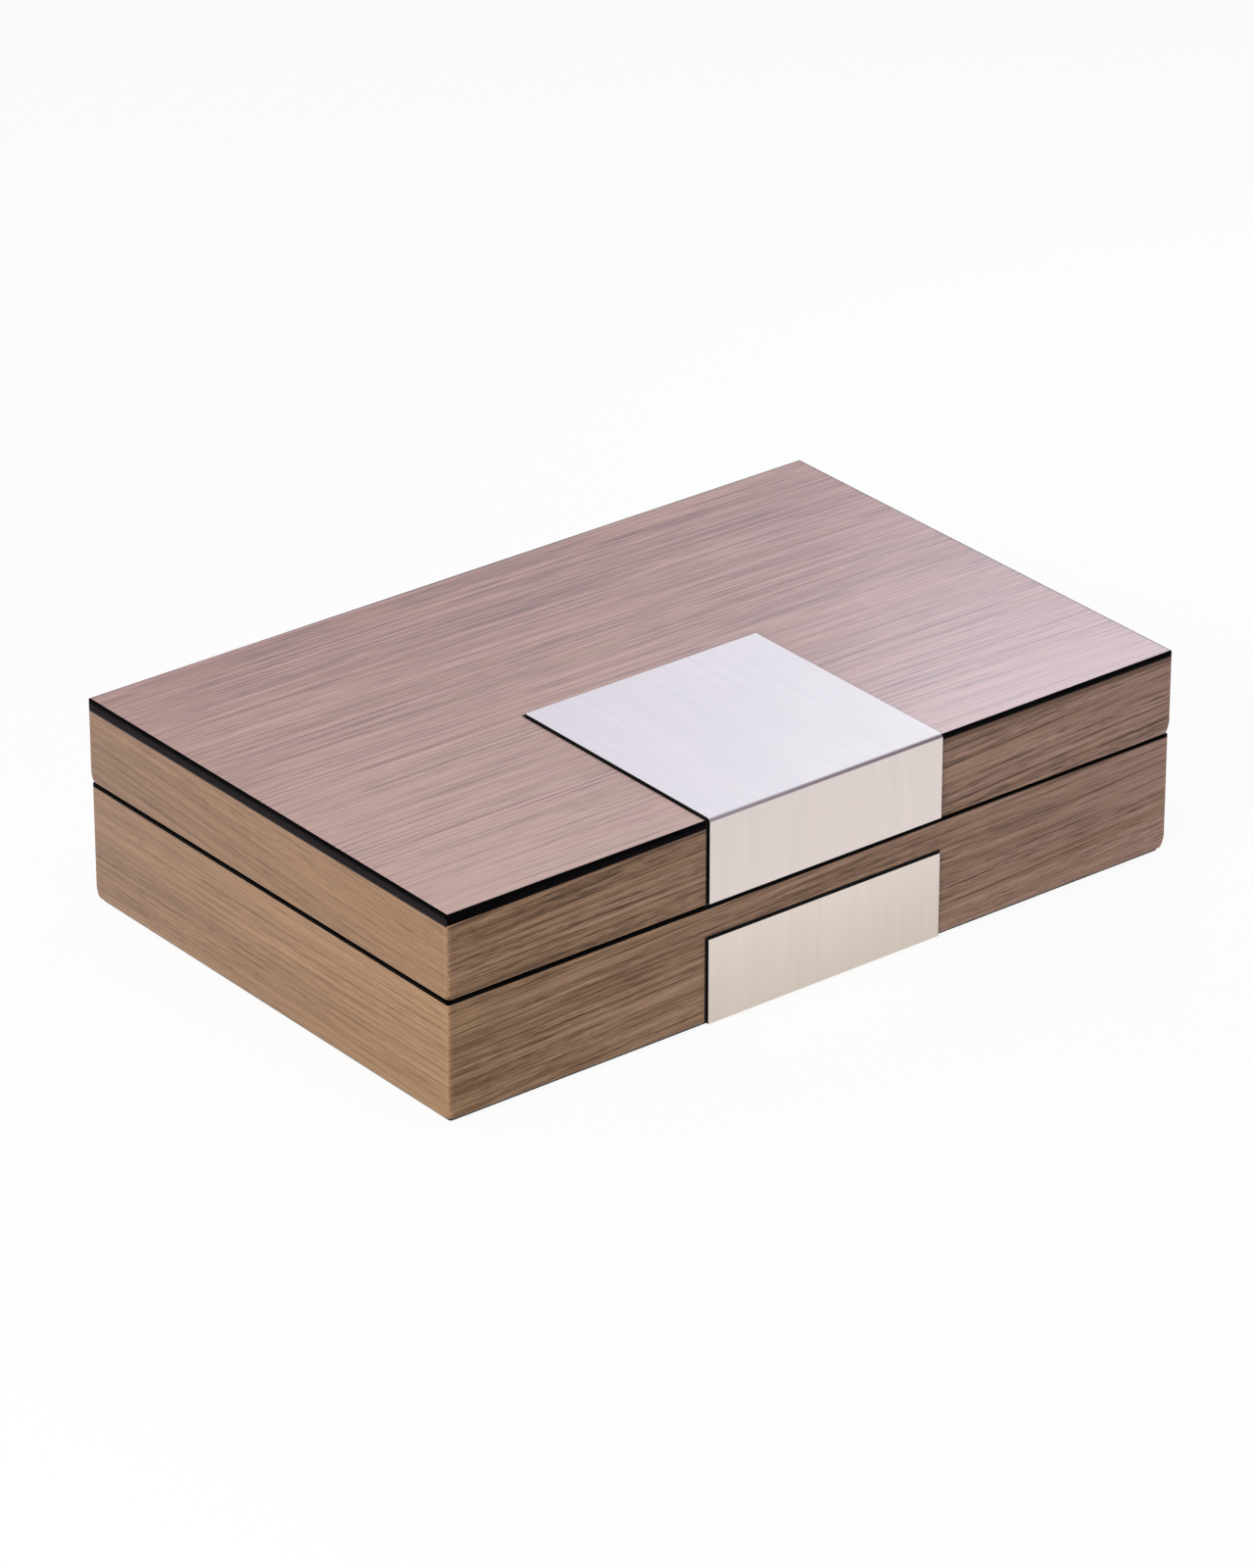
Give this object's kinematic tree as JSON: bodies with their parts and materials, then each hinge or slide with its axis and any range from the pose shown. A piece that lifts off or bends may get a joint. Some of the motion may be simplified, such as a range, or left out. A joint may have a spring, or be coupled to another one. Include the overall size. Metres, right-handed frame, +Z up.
{
  "type": "valet box",
  "caption": "Low veneered box with a hinged lid, black edge bands, folded steel front plates and a velvet-lined divided inside for small valuables.",
  "frame": {"origin": "middle of the felt underside, on the surface that the box stands on", "axes": "+X to the right along the front, +Y from the front to the hinges, +Z up"},
  "size_m": [0.28, 0.1864, 0.0698],
  "materials": {
    "walnut_veneer": "open-pored walnut veneer under a satin clear coat",
    "black_lacquer": "black lacquered lipping, semi-gloss",
    "brushed_steel": "stainless sheet, brushed along the depth and height",
    "mounting_tape": "black foam mounting tape, matt",
    "nickel": "bright nickel plate",
    "velvet": "short charcoal velvet glued on board",
    "padded_velvet": "charcoal velvet over foam",
    "black_felt": "pressed black felt, matt",
    "birch_plywood": "thin birch plywood, sanded"
  },
  "bodies": {
    "base": {"base_back": "walnut_veneer", "base_front": "walnut_veneer", "base_hinge_screws": "nickel", "base_left": "walnut_veneer", "base_liner_back": "velvet", "base_liner_front": "velvet", "base_liner_left": "velvet", "base_liner_right": "velvet", "base_magnets": "nickel", "base_plate": "brushed_steel", "base_plate_tape": "mounting_tape", "base_right": "walnut_veneer", "bottom_panel": "birch_plywood", "felt_sheet": "black_felt", "floor_lining": "velvet", "front_divider_1": "velvet", "front_divider_2": "velvet", "hinge_left_base_leaf": "nickel", "hinge_left_pin": "nickel", "hinge_right_base_leaf": "nickel", "hinge_right_pin": "nickel", "long_divider": "velvet", "rim_back": "black_lacquer", "rim_front": "black_lacquer", "rim_left": "black_lacquer", "rim_right": "black_lacquer", "ring_bay_divider": "velvet", "ring_roll_1": "padded_velvet", "ring_roll_2": "padded_velvet", "ring_roll_3": "padded_velvet", "ring_roll_4": "padded_velvet", "ring_roll_5": "padded_velvet", "ring_roll_6": "padded_velvet"},
    "lid": {"edge_band_back": "black_lacquer", "edge_band_front": "black_lacquer", "edge_band_left": "black_lacquer", "edge_band_right": "black_lacquer", "hinge_left_lid_leaf": "nickel", "hinge_right_lid_leaf": "nickel", "lid_back": "walnut_veneer", "lid_front": "walnut_veneer", "lid_hinge_screws": "nickel", "lid_left": "walnut_veneer", "lid_liner_back": "velvet", "lid_liner_front": "velvet", "lid_liner_left": "velvet", "lid_liner_right": "velvet", "lid_magnets": "nickel", "lid_pad": "padded_velvet", "lid_pad_board": "birch_plywood", "lid_plate": "brushed_steel", "lid_plate_tape": "mounting_tape", "lid_right": "walnut_veneer", "lid_top_panel": "walnut_veneer"}
  },
  "joints": [
    {"name": "lid_hinge", "type": "hinge", "parent": "base", "child": "lid", "pos_m": [0, 0.0925, 0.0404], "axis": [-1, 0, 0], "range_deg": [0, 95]}
  ]
}
